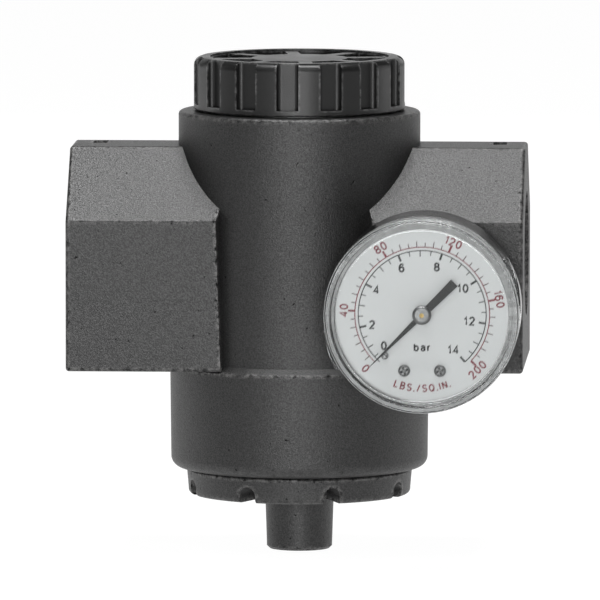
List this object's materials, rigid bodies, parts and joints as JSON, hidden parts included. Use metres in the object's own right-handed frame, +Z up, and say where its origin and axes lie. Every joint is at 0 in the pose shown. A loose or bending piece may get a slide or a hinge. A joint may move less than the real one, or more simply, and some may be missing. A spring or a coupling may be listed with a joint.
{
  "type": "compressed-air pressure regulator with dial pressure gauge",
  "caption": "Die-cast air-line pressure regulator: ribbed adjusting knob on top, a pipe port at each side, castellated bottom cap, round dual-scale dial pressure gauge screwed into its front.",
  "frame": {"origin": "centre of the inlet port's mouth, on the axis that the two pipe ports share", "axes": "+X along the pipe ports towards the outlet, -Y towards the gauge's dial, +Z up towards the knob"},
  "size_m": [0.1206, 0.0984, 0.1305],
  "materials": {
    "body_paint": "fine textured black enamel on zinc die casting",
    "bonnet_zinc": "as-cast zinc",
    "knob_plastic": "moulded acetal, fine grain",
    "case_plastic": "smooth black moulded case",
    "cap_plastic": "black enamel",
    "steel": "machined steel",
    "spring_steel": "drawn spring wire",
    "brass": "turned brass",
    "bronze": "phosphor bronze tube",
    "seal_rubber": "nitrile rubber",
    "gasket_silicone": "pale translucent silicone",
    "clear_plastic": "clear polycarbonate",
    "dial_print": "white enamelled aluminium with printed scales",
    "pointer_paint": "black enamelled aluminium",
    "chrome": "bright nickel plate"
  },
  "bodies": {
    "housing": {"regulator_body": "body_paint", "bonnet": "bonnet_zinc", "knob_retainer_ring": "spring_steel", "range_spring": "spring_steel", "valve_seat": "brass", "valve_spring": "spring_steel", "bottom_cap": "cap_plastic", "bottom_cap_oring": "seal_rubber", "rear_port_plug": "steel", "gauge_case": "case_plastic", "gauge_lens": "clear_plastic", "lens_gasket": "gasket_silicone", "gauge_dial": "dial_print", "dial_screws": "chrome", "dial_posts": "brass", "stop_pin": "chrome", "gauge_socket": "brass", "restrictor": "steel", "case_screws": "steel", "bourdon_tube": "bronze", "hairspring": "bronze", "hairspring_stud": "brass", "movement_back_plate": "brass", "movement_front_plate": "brass", "movement_pillars": "brass", "movement_screws": "steel"},
    "screw": {"adjusting_screw": "steel"},
    "knob": {"adjusting_knob": "knob_plastic"},
    "spring_rest": {"spring_rest": "steel"},
    "piston": {"control_piston": "brass", "piston_seal": "seal_rubber"},
    "poppet": {"valve_poppet": "brass", "poppet_seal": "seal_rubber"},
    "sector": {"sector_gear": "brass", "link_tail_pin": "steel"},
    "pinion": {"pinion": "brass", "pointer": "pointer_paint", "pointer_hub": "chrome"},
    "link": {"link": "steel"},
    "tube_tip": {"tube_tip": "brass", "link_tip_pin": "steel"}
  },
  "joints": [
    {"name": "knob_turn", "type": "hinge", "parent": "housing", "child": "screw", "pos_m": [0.06, 0, 0.0432], "axis": [0, 0, -1], "range_deg": [0, 1440.4]},
    {"name": "knob_lift", "type": "slide", "parent": "screw", "child": "knob", "axis": [0, 0, 1], "range_m": [0, 0.003]},
    {"name": "spring_rest_slide", "type": "slide", "parent": "housing", "child": "spring_rest", "axis": [0, 0, -1], "range_m": [0, 0.006], "deforming": ["range_spring"]},
    {"name": "piston_slide", "type": "slide", "parent": "housing", "child": "piston", "axis": [0, 0, -1], "range_m": [0, 0.0025], "deforming": ["range_spring"]},
    {"name": "poppet_slide", "type": "slide", "parent": "housing", "child": "poppet", "axis": [0, 0, -1], "range_m": [0, 0.0025], "deforming": ["valve_spring"]},
    {"name": "sector_turn", "type": "hinge", "parent": "housing", "child": "sector", "pos_m": [0.0949, -0.0457, -0.0242], "axis": [0, -1, 0], "range_deg": [0, 34.15]},
    {"name": "pointer_turn", "type": "hinge", "parent": "housing", "child": "pinion", "pos_m": [0.0949, -0.0457, -0.0107], "axis": [0, 1, 0], "range_deg": [0, 273.1], "deforming": ["hairspring"]},
    {"name": "link_swivel", "type": "hinge", "parent": "sector", "child": "link", "pos_m": [0.09569, -0.0466, -0.02761], "axis": [0, -1, 0], "range_deg": [-34.2, 0]},
    {"name": "tube_tip_travel", "type": "slide", "parent": "housing", "child": "tube_tip", "axis": [0.8655, 0, 0.5009], "range_m": [0, 0.00205], "deforming": ["bourdon_tube"]}
  ],
  "couplings": [
    {"joint": "knob_turn", "follows": "spring_rest_slide", "rad_per_m": 4188.8},
    {"joint": "poppet_slide", "follows": "piston_slide", "ratio": 1},
    {"joint": "sector_turn", "follows": "tube_tip_travel", "rad_per_m": 289.98},
    {"joint": "pointer_turn", "follows": "tube_tip_travel", "rad_per_m": 2319.9},
    {"joint": "link_swivel", "follows": "tube_tip_travel", "rad_per_m": -289.98}
  ]
}
